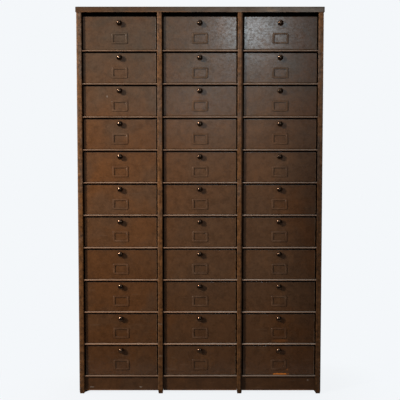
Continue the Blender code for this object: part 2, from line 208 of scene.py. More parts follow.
class Value:
    """An output of a node that takes part in Python arithmetic."""

    def __init__(self, board, socket):
        self.board = board
        self.socket = socket

    def __add__(self, other):
        return self.board.math("ADD", self, other)

    def __radd__(self, other):
        return self.board.math("ADD", other, self)

    def __sub__(self, other):
        return self.board.math("SUBTRACT", self, other)

    def __rsub__(self, other):
        return self.board.math("SUBTRACT", other, self)

    def __mul__(self, other):
        return self.board.math("MULTIPLY", self, other)

    def __rmul__(self, other):
        return self.board.math("MULTIPLY", other, self)

    def __truediv__(self, other):
        return self.board.math("DIVIDE", self, other)

    def __pow__(self, other):
        return self.board.math("POWER", self, other)

    def __lt__(self, other):
        return self.board.math("LESS_THAN", self, other)

    def __abs__(self):
        return self.board.math("ABSOLUTE", self)

    def root(self):
        return self.board.math("SQRT", self)

    def least(self, other):
        return self.board.math("MINIMUM", self, other)

    def most(self, other):
        return self.board.math("MAXIMUM", self, other)

    def rise(self, low, high):
        """Runs smoothly from 0 at low to 1 at high."""
        settings = {"interpolation_type": "SMOOTHSTEP"}
        return self.board.node("ShaderNodeMapRange", settings, {0: self, 1: low, 2: high})

    def fall(self, low, high):
        return 1 - self.rise(low, high)

    def output(self, name):
        """Another output of the same node."""
        return Value(self.board, self.socket.node.outputs[name])

    def split(self):
        parts = self.board.node("ShaderNodeSeparateXYZ", {}, {0: self})
        return parts, parts.output("Y"), parts.output("Z")


class Board:
    """A node tree under construction."""

    def __init__(self, tree):
        self.tree = tree

    def node(self, kind, settings=None, inputs=None, output=0):
        """Adds a node, sets it up, feeds its sockets and hands back one of its outputs."""
        made = self.tree.nodes.new(kind)
        for key, value in (settings or {}).items():
            setattr(made, key, value)
        for key, value in (inputs or {}).items():
            if isinstance(value, Value):
                self.tree.links.new(value.socket, made.inputs[key])
            else:
                made.inputs[key].default_value = value
        if made.outputs:
            return Value(self, made.outputs[output])
        return None

    def math(self, operation, *terms):
        return self.node("ShaderNodeMath", {"operation": operation}, dict(enumerate(terms)))

    def vector(self, operation, *terms):
        return self.node("ShaderNodeVectorMath", {"operation": operation}, dict(enumerate(terms)))

    def join(self, x, y, z):
        return self.node("ShaderNodeCombineXYZ", {}, {0: x, 1: y, 2: z})


class Finish(Board):
    """A material under construction."""

    def __init__(self, name):
        self.material = bpy.data.materials.new(name)
        self.material.use_nodes = True
        super().__init__(self.material.node_tree)
        self.tree.nodes.clear()

    def place(self):
        """Where a point lies in the cabinet, in metres."""
        return self.node("ShaderNodeTexCoord", output="Object")

    def attribute(self, name, output="Fac"):
        return self.node("ShaderNodeAttribute", {"attribute_name": name}, output=output)

    def noise(self, where, scale, detail=2.0, roughness=0.5, distortion=0.0):
        sockets = {"Vector": where, "Scale": scale, "Detail": detail}
        sockets |= {"Roughness": roughness, "Distortion": distortion}
        return self.node("ShaderNodeTexNoise", {}, sockets)

    def stretch(self, where, scale, shift=(0.0, 0.0, 0.0), turn=(0.0, 0.0, 0.0)):
        sockets = {"Vector": where, "Location": shift, "Rotation": turn, "Scale": scale}
        return self.node("ShaderNodeMapping", {}, sockets)

    def mix(self, share, first, second):
        """Blends two colours."""
        settings = {"data_type": "RGBA", "clamp_factor": True}
        colours = [c if isinstance(c, Value) else (*c, 1.0) for c in (first, second)]
        return self.node("ShaderNodeMix", settings, {0: share, 6: colours[0], 7: colours[1]}, 2)

    def shade(self, colour, amount):
        """Multiplies a colour by a number."""
        return self.node("ShaderNodeVectorMath", {"operation": "SCALE"}, {0: colour, 3: amount})

    def bump(self, amount, depth, strength):
        sockets = {"Height": amount, "Distance": depth, "Strength": strength}
        return self.node("ShaderNodeBump", {}, sockets)

    def surface(self, colour, roughness, normal=None, **constants):
        """Ends the material in one shader, whose other sockets hold constants."""
        sockets = {"Base Color": colour, "Roughness": roughness}
        sockets |= {name.replace("_", " "): value for name, value in constants.items()}
        if normal:
            sockets["Normal"] = normal
        shader = self.node("ShaderNodeBsdfPrincipled", {}, sockets)
        self.node("ShaderNodeOutputMaterial", {}, {"Surface": shader})
        return self.material


# Materials

def darker_low_and_painted_falloff(across, up):
    """Darker towards the floor, and darker towards the right as a painted falloff of the key light."""
    by_height = 0.31 + 0.76 * up.rise(-0.35, 1.75)
    right_falloff_share = (0.65 + 0.35 * up.rise(0.3, 0.9)) * (1 - 0.18 * up.rise(1.1, 1.4))
    return by_height * (1 - 0.56 * across.rise(0.30, 0.62) * right_falloff_share)


def grey_film_and_sheen(finish, where, up, colour):
    """A patchy grey film that dulls the upper part of the front, partly a painted sheen of reflected light.
    """
    patches = finish.noise(where, 9.0, 3.0, 0.6).rise(0.30, 0.70)
    return finish.mix(up.rise(1.05, 1.80) * (0.22 + 0.26 * patches), colour, GREY_FILM_AND_SHEEN)


def brown_enamel(finish, where):
    """Colour of the brown enamel: cool and warm blotches, ochre where it is worn thin, a grey film that is
    partly a painted sheen, mottle and grain, darker low down and with a painted falloff of light to the
    right.
    """
    across, _, up = where.split()
    blotch = finish.noise(where, 4.6, 3.0, 0.55, 0.4)
    middle = across.rise(-0.30, 0.05) * across.fall(0.30, 0.50)
    warm = blotch.rise(0.36, 0.64) * (0.8 - 0.6 * middle) + 0.45 * up.fall(0.25, 0.65)
    warm = warm + 0.35 * across.fall(-0.60, -0.38) + 0.15 * across.rise(0.40, 0.58)
    colour = finish.mix(warm, COOL_ENAMEL, WARM_ENAMEL)
    thin = finish.noise(finish.stretch(where, (1.0, 1.0, 0.55), (3.1, 0.0, 1.7)), 7.0, 4.0, 0.6)
    colour = finish.mix(thin.rise(0.54, 0.74) * 0.42, colour, OCHRE_RUB)
    # grey film on the upper front, partly a painted sheen
    colour = grey_film_and_sheen(finish, where, up, colour)
    mottle = finish.noise(where, *ENAMEL_MOTTLE)
    grain = finish.noise(where, 140.0, 3.0, 0.65)
    # darker towards the floor, and a painted falloff of light to the right
    return finish.shade(colour, (0.56 + 0.88 * mottle) * (0.58 + 0.84 * grain) * darker_low_and_painted_falloff(across, up))


def enamel_relief(finish, where, mottle):
    """Unevenness of the sprayed enamel, from slow waves to a fine peel."""
    waves = finish.noise(where, 16.0, 2.0, 0.5)
    peel = finish.noise(where, 120.0, 3.0, 0.55)
    return finish.bump(waves * 0.35 + mottle * 0.50 + peel * 0.60, 0.0011, 0.7)


def enamel_gloss(finish, where):
    """What the enamel has kept of its gloss, as a clear skin in small patches."""
    patches = finish.noise(finish.stretch(where, (0.7, 1.0, 1.0)), 110.0, 4.0, 0.68)
    return 0.30 + 0.70 * patches.rise(0.34, 0.66)


def scratches(finish, where, turn):
    """Fine broken lines in one direction."""
    along = finish.stretch(where, (4.0, 4.0, 190.0), turn=(0.0, turn, 0.0))
    lines = finish.noise(along, 1.0, 2.0, 0.55, 0.3).rise(0.66, 0.74)
    breaks = finish.noise(where, 11.0, 2.0).rise(0.50, 0.62)
    return lines * breaks


def mark(finish, where, centre, size, ragged):
    """A small ragged patch at one place on the front, as a mask."""
    offset = finish.vector("SUBTRACT", where, (centre[0], 0.0, centre[1]))
    across, _, up = offset.split()
    reach = ((across / size[0]) ** 2.0 + (up / size[1]) ** 2.0).root()
    torn = reach + (finish.noise(where, 190.0, 3.0, 0.6) - 0.5) * ragged
    return torn.fall(0.75, 1.05)


def flap_enamel():
    """Enamel of the flaps: mottled, rubbed at the edges, dulled by a grey film that is partly a painted
    sheen, with painted shade beside the stiles, round the label holder, on the returns and under the top
    edge.
    """
    f = Finish("flap_enamel_worn")
    spot = f.place()
    across, depth, up = f.attribute("flap_place", "Vector").split()
    half_width = f.attribute("flap_half_width")
    rise = f.attribute("flap_height")
    tone = f.attribute("flap_tone")

    mottle = f.noise(spot, *ENAMEL_MOTTLE)
    colour = f.shade(brown_enamel(f, spot), tone)

    edge = (half_width - abs(across)).least(rise - up).least(up + 0.002)
    near_edge = edge.fall(0.0005, 0.0050)
    worn_here = f.noise(spot, 60.0, 3.0, 0.6).rise(0.34, 0.60)
    colour = f.mix(near_edge * worn_here * 0.60, colour, BARE_EDGE_AND_HIGHLIGHT)
    lines = scratches(f, spot, 0.35).most(scratches(f, spot, -0.9))
    colour = f.mix(lines * 0.18, colour, BARE_EDGE_AND_HIGHLIGHT)
    # painted shadow of the stile along each flap's left end
    painted_shadow_left = (half_width + across).fall(0.0020, 0.0055)
    colour = f.mix(painted_shadow_left * 0.75, colour, DARK_ENAMEL)
    specks = f.noise(spot, 420.0, 1.0).rise(0.74, 0.80)
    colour = f.mix(specks * 0.35, colour, PALE_RUB_AND_HIGHLIGHT)
    pits = f.noise(f.stretch(spot, (1.0, 1.0, 1.0), (0.7, 0.2, 0.4)), 150.0, 2.0).rise(0.71, 0.77)
    colour = f.mix(pits * 0.55, colour, DARK_ENAMEL)
    above_middle = up - f.attribute("flap_label")
    window_half = LABEL_WIDTH / 2 - LABEL_SIDE_RAIL
    window_rise = LABEL_HEIGHT / 2 - LABEL_END_RAIL
    window = (window_half - abs(across)).least(window_rise - abs(above_middle))
    outside = (abs(across) - LABEL_WIDTH / 2).most(abs(above_middle) - LABEL_HEIGHT / 2)
    # painted shade: a dark line inside the window, strongest at the top and left where the rails cast
    # shadow, and a thin painted shadow round the holder's outside
    shaded_side = (above_middle / window_rise).most(0.0 - across / window_half).rise(0.60, 0.95)
    painted_shade_in_window = window.rise(-0.002, 0.0) * window.fall(0.0012, 0.0050) * (0.35 + 0.65 * shaded_side)
    painted_shade_round_holder = outside.rise(-0.002, 0.0) * outside.fall(0.0004, 0.0030) * 0.45
    colour = f.mix(painted_shade_in_window.most(painted_shade_round_holder) * (0.45 + 0.55 * worn_here) * 0.85, colour, DARK_ENAMEL)
    for centre, size, dense in FLAP_RUST:
        colour = f.mix(mark(f, spot, centre, size, 1.5) * dense, colour, RUST)
    for centre, size in FLAP_CHIPS:
        colour = f.mix(mark(f, spot, centre, size, 1.2) * 0.5, colour, CHIP)
    # painted shade on the returns in the recess and along the top edge, in the gap under the shelf lip
    colour = f.shade(colour, 1 - 0.88 * depth.rise(0.0015, 0.0070).most((rise - up).fall(0.0016, 0.0036)))

    rough = 0.22 + 0.12 * mottle + near_edge * 0.06 + lines * 0.08
    gloss = enamel_gloss(f, spot)
    relief = enamel_relief(f, spot, mottle)
    skin = {"Coat_Weight": gloss, "Coat_Roughness": 0.17}
    return f.surface(colour, rough, relief, Specular_IOR_Level=GLOSSY_SPECULAR, **skin)


def stile_enamel():
    """Enamel of the stiles: lighter, with ochre wear down the corners, a painted highlight down the left
    corners and painted shade on the right corners and in the gaps.
    """
    f = Finish("stile_enamel_worn")
    spot = f.place()
    x, y, z = spot.split()
    first = (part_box(STILE_NAMES[0])[0].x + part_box(STILE_NAMES[0])[1].x) / 2
    second = (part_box(STILE_NAMES[1])[0].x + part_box(STILE_NAMES[1])[1].x) / 2
    spacing = second - first
    turns = (x - first) / spacing + 0.5
    across = (f.math("FRACT", turns) - 0.5) * spacing

    blotch = f.noise(f.stretch(spot, (1.0, 1.0, 0.35)), 22.0, 4.0, 0.6)
    mottle = f.noise(spot, 70.0, 4.0, 0.6)
    grain = f.noise(spot, 160.0, 3.0, 0.6)
    colour = f.mix(blotch.rise(0.36, 0.60) * 0.75 + z.fall(0.30, 1.55) * 0.85, STILE_COOL, STILE_WARM)
    colour = f.shade(colour, 0.90 + 0.20 * z.rise(1.45, 1.95) + 0.12 * z.fall(0.20, 0.70))
    colour = f.shade(colour, 1 + 0.9 * z.rise(1.20, 1.95) * x.rise(0.50, 0.60))
    corner = abs(across).rise(0.0040, 0.0105)
    rubbed = f.noise(f.stretch(spot, (1.0, 1.0, 0.25), (0.4, 0.0, 0.9)), 55.0, 3.0, 0.6).rise(0.36, 0.62)
    colour = f.mix(corner * rubbed * 0.75, colour, OCHRE_RUB)
    nicks = f.noise(f.stretch(spot, (0.35, 1.0, 1.0)), 120.0, 2.0).rise(0.68, 0.76)
    colour = f.mix(nicks * 0.6, colour, BARE_EDGE_AND_HIGHLIGHT)
    for centre, size in STILE_CHIPS:
        colour = f.mix(mark(f, spot, centre, size, 1.2) * 0.8, colour, PALE_RUB_AND_HIGHLIGHT)
    patches = (2.66 * mottle - 0.34).most(0.3) * (0.46 + 1.08 * grain)
    # darker towards the floor, and a painted falloff of light to the right
    colour = f.shade(colour, patches * darker_low_and_painted_falloff(x, z))
    # painted highlight down the stiles' left corners, which face the key light, broken up by rubbing
    painted_highlight_left = across.fall(-0.0118, -0.0078) * (0.55 + 0.45 * rubbed)
    colour = f.mix(painted_highlight_left * (0.10 + 0.35 * x.rise(-0.1, 0.6)), colour, BARE_EDGE_AND_HIGHLIGHT)
    outer_x = high_corner.x
    # painted shade on the stiles' right corners, which face away from the light
    painted_shade_right = across.rise(0.0080, 0.0118) * x.fall(outer_x - 0.030, outer_x - 0.020)
    colour = f.shade(colour, 1 - 0.70 * painted_shade_right)
    # painted shade on the stiles' sides back in the gaps beside the flaps
    painted_shade_between = y.rise(front_y + 0.003, front_y + 0.014) * abs(x).fall(outer_x - 0.020, outer_x - 0.010)
    colour = f.shade(colour, 1 - 0.88 * painted_shade_between)
    relief = f.bump(mottle * 0.4 + grain * 0.1, 0.0008, 0.5)
    return f.surface(colour, 0.36 + 0.16 * mottle, relief, Specular_IOR_Level=FADED_SPECULAR)


def shelf_enamel():
    """Enamel of the shelves, rubbed pale along the front where hands and files drag, with the pale kept to
    a painted highlight on the top of the nose, painted shade under it and behind the front, and painted
    light levels.
    """
    f = Finish("shelf_enamel_rubbed")
    spot = f.place()
    x, y, z = spot.split()
    mottle = f.noise(f.stretch(spot, (0.4, 1.0, 1.0)), 60.0, 4.0, 0.6)
    grain = f.noise(spot, 260.0, 3.0, 0.6)
    front = y.fall(front_y + 0.014, front_y + 0.024)
    streaks = f.noise(f.stretch(spot, (0.16, 1.0, 1.0)), 46.0, 3.0, 0.6).rise(0.30, 0.66)
    slack = 0.002
    down = f.math("FRACT", (shelf_low + slack - z) / pitch) * pitch - slack
    # painted highlight: the pale rub only on the top of the nose, where the light falls
    painted_highlight_nose = 0.08 + 0.92 * down.fall(0.0011, 0.0033)
    # painted shade behind the front and on the lower part of the nose
    colour = f.shade(f.mix(front, INSIDE_SHADE, WARM_ENAMEL), 1 - 0.6 * down.rise(0.0042, 0.0056))
    colour = f.mix(front * (0.45 + 0.55 * streaks) * painted_highlight_nose, colour, PALE_RUB_AND_HIGHLIGHT)
    # dust, partly a painted sheen, on the tops of the lips towards the right
    colour = f.mix(front * painted_highlight_nose * x.rise(-0.25, 0.15) * 0.5, colour, DUST_AND_SHEEN)
    # painted light and shade: lighter low down and on the upper middle, darker to the right and on the
    # lowest shelf
    level = 1.06 + 0.15 * z.fall(0.20, 1.20) + 0.25 * z.rise(1.10, 1.50) * x.rise(-0.15, 0.15)
    level = level * (1 - 0.35 * x.rise(0.30, 0.57))
    level = level * (1 - 0.38 * z.fall(shelf_low + 0.03, shelf_low + 0.10))
    colour = f.shade(colour, (0.76 + 0.48 * mottle) * (0.85 + 0.30 * grain) * level)
    relief = f.bump(mottle * 0.4 + grain * 0.1, 0.0006, 0.4)
    return f.surface(colour, 0.40 + 0.14 * mottle, relief)


def carcass_enamel(name, tone=1.0, lower_edge=None, chips=(), dust_and_sheen=False, shaded_top=None):
    """Enamel of the cap, sides, back, plinth and gussets, rubbed along an edge that hangs free, with
    painted shade on the cap's top and right rims and along the plinth's top.
    """
    f = Finish(name)
    spot = f.place()
    x, y, z = spot.split()
    mottle = f.noise(spot, *ENAMEL_MOTTLE)
    waves = f.noise(spot, 4.6, 2.0, 0.5)
    colour = f.shade(brown_enamel(f, spot), tone)
    if lower_edge is not None:
        rubbed = f.noise(f.stretch(spot, (0.3, 1.0, 1.0)), 30.0, 3.0, 0.6).rise(0.34, 0.64)
        colour = f.mix(z.fall(lower_edge, lower_edge + 0.009) * rubbed * 0.8, colour, OCHRE_RUB)
    if dust_and_sheen:
        # dust, partly a painted sheen, greying the cap towards the right
        patches = f.noise(f.stretch(spot, (0.5, 1.0, 1.0)), 26.0, 4.0, 0.6).rise(0.30, 0.70)
        colour = f.mix(x.rise(-0.55, 0.55) * (0.16 + 0.38 * patches), colour, DUST_AND_SHEEN)
        drawn_out = f.stretch(spot, (9.0, 9.0, 170.0), (0.3, 0.0, 0.2))
        scrapes = f.noise(drawn_out, 1.0, 3.0, 0.6).rise(0.52, 0.62)
        where_scraped = x.rise(0.05, 0.25) * f.noise(spot, 9.0, 2.0).rise(0.40, 0.60)
        colour = f.mix(scrapes * where_scraped * 0.8, colour, PALE_RUB_AND_HIGHLIGHT)
        # painted shade along the cap's top and right rims
        top_rim = z.rise(high_corner.z - 0.006, high_corner.z - 0.002)
        right_rim = x.rise(high_corner.x - 0.008, high_corner.x - 0.003)
        painted_shade_rim = top_rim.most(right_rim) * y.fall(front_y, front_y + 0.006)
        colour = f.mix(painted_shade_rim * 0.55, colour, DARK_ENAMEL)
    if shaded_top is not None:
        # painted shade: a dark band along the plinth's top, under the lowest shelf lip
        colour = f.mix(z.rise(shaded_top - 0.008, shaded_top - 0.005) * 0.85, colour, INSIDE_SHADE)
    lines = scratches(f, spot, 0.6)
    colour = f.mix(lines * 0.25, colour, BARE_EDGE_AND_HIGHLIGHT)
    for centre, size in chips:
        colour = f.mix(mark(f, spot, centre, size, 1.2) * 0.26, colour, CHIP)
    relief = f.bump(mottle * 0.4 + waves * 0.4, 0.0010, 0.5)
    return f.surface(colour, 0.36 + 0.14 * mottle, relief, Specular_IOR_Level=FADED_SPECULAR)


def knob_bronze():
    """Dark bronze of the knobs, polished by fingers at the crown and tarnished brown round it."""
    f = Finish("knob_dark_bronze")
    spot = f.place()
    tarnish = f.noise(spot, 130.0, 3.0, 0.6)
    grain = f.noise(spot, 520.0, 2.0, 0.6)
    crown = f.attribute("knob_rise").rise(0.76, 0.90)
    colour = f.mix(crown * (0.70 + 0.30 * tarnish.fall(0.35, 0.60)), TARNISH, BRONZE)
    colour = f.shade(colour, 0.85 + 0.30 * grain)
    relief = f.bump(tarnish * 0.5 + grain * 0.2, 0.0002, 0.4)
    return f.surface(colour, 0.15 + 0.10 * tarnish, relief, Metallic=1.0)


def holder_enamel():
    """Enamel of the label holders, rubbed bare along the crown of the rail, with painted shade at the
    rail's foot.
    """
    f = Finish("label_holder_enamel")
    spot = f.place()
    mottle = f.noise(spot, *ENAMEL_MOTTLE)
    rise = f.attribute("rail_rise")
    colour = brown_enamel(f, spot)
    colour = f.mix(rise.rise(0.80, 1.0) * mottle.rise(0.45, 0.65) * 0.10, colour, BARE_EDGE_AND_HIGHLIGHT)
    # painted shade where the rail meets the flap
    colour = f.mix(rise.fall(0.05, 0.60) * 0.5, colour, DARK_ENAMEL)
    gloss = enamel_gloss(f, spot) * 0.3
    relief = enamel_relief(f, spot, mottle)
    rough = 0.36 + 0.12 * mottle
    skin = {"Coat_Weight": gloss, "Coat_Roughness": 0.28}
    return f.surface(colour, rough, relief, Specular_IOR_Level=GLOSSY_SPECULAR, **skin)


def inside_primer():
    """Dark primer of the sheets inside, near black as painted shade, and painted darker still just behind
    the flaps.
    """
    f = Finish("inside_primer")
    spot = f.place()
    _, y, _ = spot.split()
    mottle = f.noise(spot, 45.0, 3.0, 0.6)
    # painted shade, darkest just behind the flaps where the gaps look in
    painted_shade_factor = 0.1 + 0.9 * y.rise(front_y + 0.05, front_y + 0.12)
    colour = f.shade(f.mix(mottle * 0.4, INSIDE_SHADE, DARK_ENAMEL), painted_shade_factor)
    return f.surface(colour, 0.60 + 0.15 * mottle, Specular_IOR_Level=0.1)


def weld_enamel():
    """Enamel over the spot welds."""
    f = Finish("weld_enamel")
    spot = f.place()
    mottle = f.noise(spot, 160.0, 3.0, 0.6)
    colour = f.mix(mottle, DARK_ENAMEL, WARM_ENAMEL)
    return f.surface(colour, 0.40 + 0.12 * mottle)


# Mesh helpers

def link(name, data):
    made = bpy.data.objects.new(name, data)
    bpy.context.scene.collection.objects.link(made)
    return made


def baked(worker):
    """Swaps an object's mesh for what its modifiers make of it."""
    bpy.context.view_layer.update()
    evaluated = worker.evaluated_get(bpy.context.evaluated_depsgraph_get())
    mesh = bpy.data.meshes.new_from_object(evaluated)
    worker.modifiers.clear()
    plain = worker.data
    worker.data = mesh
    bpy.data.meshes.remove(plain)
    mesh.name = worker.name
    return worker


def closed_outward(mesh):
    """Merges doubles and turns every face of a closed mesh outward."""
    bm = bmesh.new()
    bm.from_mesh(mesh)
    bmesh.ops.remove_doubles(bm, verts=bm.verts, dist=1e-7)
    bmesh.ops.recalc_face_normals(bm, faces=bm.faces)
    bm.to_mesh(mesh)
    bm.free()


def smooth(mesh, degrees):
    mesh.shade_smooth()
    mesh.set_sharp_from_angle(angle=math.radians(degrees))


def store(mesh, name, kind, values):
    """Keeps one value for each point of a mesh."""
    attribute = mesh.attributes.new(name, kind, "POINT")
    if kind == "FLOAT":
        attribute.data.foreach_set("value", values)
    else:
        attribute.data.foreach_set("vector", [n for v in values for n in v])


def new_tree(name, sockets):
    """An empty geometry tree with named inputs and one geometry output."""
    tree = bpy.data.node_groups.new(name, "GeometryNodeTree")
    tree.interface.new_socket("Geometry", in_out="INPUT", socket_type="NodeSocketGeometry")
    for socket, kind in sockets.items():
        tree.interface.new_socket(socket, in_out="INPUT", socket_type="NodeSocket" + kind)
    tree.interface.new_socket("Geometry", in_out="OUTPUT", socket_type="NodeSocketGeometry")
    board = Board(tree)
    entry = board.node("NodeGroupInput")
    return board, {socket: entry.output(socket) for socket in sockets}


def end_tree(board, geometry, material):
    """Every tree ends in real geometry with its material set."""
    real = board.node("GeometryNodeRealizeInstances", {}, {0: geometry})
    painted = board.node("GeometryNodeSetMaterial", {}, {0: real, "Material": material})
    board.node("NodeGroupOutput", {}, {0: painted})
    return board.tree


def grow(tree, name, values):
    """Runs a geometry tree with the given inputs and keeps the result as a plain mesh."""
    worker = link(name, bpy.data.meshes.new(name + "_seed"))
    modifier = worker.modifiers.new(tree.name, "NODES")
    modifier.node_group = tree
    for item in tree.interface.items_tree:
        if item.in_out == "INPUT" and item.name in values:
            modifier[item.identifier] = values[item.name]
    baked(worker)
    closed_outward(worker.data)
    return worker


# Geometry trees

def knob_tree():
    """A flattened ball on a neck and a domed rosette, drawn along a line square to the flap."""
    board, take = new_tree("turned_knob", {
        "Seat": "Vector", "Projection": "Float", "Ball Radius": "Float", "Head": "Float",
        "Neck Radius": "Float", "Rosette Radius": "Float", "Rosette Rise": "Float",
        "Rings": "Int", "Sides": "Int", "Finish": "Material",
    })
    reach = take["Projection"]
    deep = take["Head"] / 2
    ends = {"Start": (0.0, 0.0, 0.0), "End": (0.0, -1.0, 0.0)}
    line = board.node("GeometryNodeCurvePrimitiveLine", {}, ends)
    line = board.node("GeometryNodeResampleCurve", {}, {"Curve": line, "Count": take["Rings"]})
    along = board.node("GeometryNodeSplineParameter")
    out = reach * (1 - (1 - along) ** 2.0)
    middle = reach - deep
    globe = (1 - ((out - middle) / deep) ** 2.0).most(0.0).root() * take["Ball Radius"]
    neck = take["Neck Radius"] * (out < middle)
    dome = (1 - (out / take["Rosette Rise"]) ** 2.0).most(0.0).root() * take["Rosette Radius"]
    radius = globe.most(neck).most(dome).most(KNOB_TIP)
    where = board.vector("ADD", take["Seat"], board.join(0.0, 0.0 - out, 0.0))
    line = board.node("GeometryNodeSetCurveRadius", {}, {"Curve": line, "Radius": radius})
    line = board.node("GeometryNodeSetPosition", {}, {0: line, "Position": where})
    unit_circle = {"Resolution": take["Sides"], "Radius": 1.0}
    circle = board.node("GeometryNodeCurvePrimitiveCircle", {}, unit_circle)
    sockets = {"Curve": line, "Profile Curve": circle, "Fill Caps": True}
    sockets["Scale"] = board.node("GeometryNodeInputRadius")
    solid = board.node("GeometryNodeCurveToMesh", {}, sockets)
    return end_tree(board, solid, take["Finish"])


def label_tree():
    """A flat rail with round shoulders, wider at the sides, run round a rectangle with round corners."""
    board, take = new_tree("label_holder", {
        "Seat": "Vector", "Width": "Float", "Height": "Float", "Side Rail": "Float", "End Rail": "Float",
        "Raise": "Float", "Shoulder": "Float", "Corner": "Float", "Sunk": "Float", "Finish": "Material",
    })
    rail = take["End Rail"]
    sizes = {"Width": take["Width"] - rail, "Height": take["Height"] - rail}
    path = board.node("GeometryNodeCurvePrimitiveQuadrilateral", {}, sizes)
    fillet = {"Curve": path, "Radius": take["Corner"], "Limit Radius": True, "Count": LABEL_CORNER_STEPS}
    path = board.node("GeometryNodeFilletCurve", {"mode": "POLY"}, fillet)
    unit_circle = {"Resolution": LABEL_PROFILE_SIDES, "Radius": 1.0}
    profile = board.node("GeometryNodeCurvePrimitiveCircle", {}, unit_circle)
    shape = board.join(rail / 2, take["Raise"] * take["Shoulder"], 1.0)
    profile = board.node("GeometryNodeTransform", {}, {0: profile, "Scale": shape})
    frame_mesh = board.node("GeometryNodeCurveToMesh", {}, {"Curve": path, "Profile Curve": profile})
    x, y, z = board.node("GeometryNodeInputPosition").split()
    half = take["Width"] / 2
    within = abs(x).least(half - rail) * (half - take["Side Rail"]) / (half - rail)
    beyond = (abs(x) - half + rail).most(0.0) * take["Side Rail"] / rail
    wide = board.math("SIGN", x) * (within + beyond)
    flat = board.join(wide, 0.0 - z.most(0.0 - take["Sunk"]).least(take["Raise"]), y)
    where = board.vector("ADD", take["Seat"], flat)
    frame_mesh = board.node("GeometryNodeSetPosition", {}, {0: frame_mesh, "Position": where})
    return end_tree(board, frame_mesh, take["Finish"])


def weld_tree():
    """Rows of low domes where two sheets are spot welded."""
    board, take = new_tree("spot_welds", {
        "First": "Vector", "Step": "Vector", "Count": "Int", "Row Step": "Vector", "Rows": "Int",
        "Radius": "Float", "Squash": "Vector", "Finish": "Material",
    })
    row = board.node("GeometryNodeMeshLine", {}, {
        "Count": take["Count"], "Start Location": take["First"], "Offset": take["Step"],
    })
    ladder = board.node("GeometryNodeMeshLine", {}, {
        "Count": take["Rows"], "Start Location": (0.0, 0.0, 0.0), "Offset": take["Row Step"],
    })
    rows = board.node("GeometryNodeInstanceOnPoints", {}, {"Points": ladder, "Instance": row})
    points = board.node("GeometryNodeRealizeInstances", {}, {0: rows})
    ball = {"Segments": WELD_SEGMENTS, "Rings": WELD_RINGS, "Radius": take["Radius"]}
    dome = board.node("GeometryNodeMeshUVSphere", {}, ball)
    dome = board.node("GeometryNodeTransform", {}, {0: dome, "Scale": take["Squash"]})
    welds = board.node("GeometryNodeInstanceOnPoints", {}, {"Points": points, "Instance": dome})
    return end_tree(board, welds, take["Finish"])


# Flaps

def flap_path(half, foot, notch, top, inset):
    """Points (x, z) up one side of a flap, over its top corners and down the other side."""
    radius = FLAP_CORNER - inset
    points = [(-half + inset, foot), (-half + inset, notch)]
    for side, start in ((-1, 180.0), (1, 90.0)):
        for i in range(CORNER_STEPS + 1):
            angle = math.radians(start - 90.0 * i / CORNER_STEPS)
            x = side * (half - FLAP_CORNER) + radius * math.cos(angle)
            points.append((x, top - FLAP_CORNER + radius * math.sin(angle)))
    points += [(half - inset, notch), (half - inset, foot)]
    return points


def flap_sheet(name, half, top, pivot):
    """The flap's sheet before it has a thickness: face, three returns and the rolled hinge barrel."""
    bm = bmesh.new()
    face = pivot.y - BARREL_RADIUS
    foot = pivot.z + FOOT_STRIP
    notch = pivot.z + RETURN_NOTCH
    rings = [(BEND_RADIUS + FACE_MARGIN, face), (BEND_RADIUS, face)]
    for i in range(1, BEND_STEPS + 1):
        angle = math.radians(90.0 * i / BEND_STEPS)
        rings.append((BEND_RADIUS * (1 - math.sin(angle)), face + BEND_RADIUS * (1 - math.cos(angle))))
    rings.append((0.0, face + FLAP_RETURN))
    loops = []
    for inset, y in rings:
        path = flap_path(half, foot, notch, top, inset)
        loops.append([bm.verts.new((pivot.x + x, y, z)) for x, z in path])
    bm.faces.new(loops[0])
    last = len(loops) - 2
    for k, (inner, outer) in enumerate(zip(loops, loops[1:])):
        segments = range(len(inner) - 1)
        if k == last:
            segments = range(1, len(inner) - 2)
        for i in segments:
            bm.faces.new((inner[i], outer[i], outer[i + 1], inner[i + 1]))

    row = [loops[1][0], loops[0][0], loops[0][-1], loops[1][-1]]
    places = [(face, pivot.z)]
    for i in range(1, BARREL_STEPS + 1):
        angle = math.radians(180.0 + 270.0 * i / BARREL_STEPS)
        y = pivot.y + BARREL_RADIUS * math.cos(angle)
        places.append((y, pivot.z + BARREL_RADIUS * math.sin(angle)))
    for y, z in places:
        lower = [bm.verts.new((v.co.x, y, z)) for v in row]
        for i in range(len(row) - 1):
            bm.faces.new((row[i], row[i + 1], lower[i + 1], lower[i]))
        row = lower
    bm.normal_update()
    bmesh.ops.recalc_face_normals(bm, faces=bm.faces)
    bm.faces.ensure_lookup_table()
    if bm.faces[0].normal.y > 0:
        bmesh.ops.reverse_faces(bm, faces=bm.faces)
    mesh = bpy.data.meshes.new(name)
    bm.to_mesh(mesh)
    bm.free()
    return mesh


def fitting_raise(name):
    """The fittings sit a little higher on the taller flaps of the first row."""
    return FIRST_ROW_RAISE if name.endswith("_01") else 0.0


def label_middle(name):
    return LABEL_BOTTOM + LABEL_HEIGHT / 2 + fitting_raise(name)


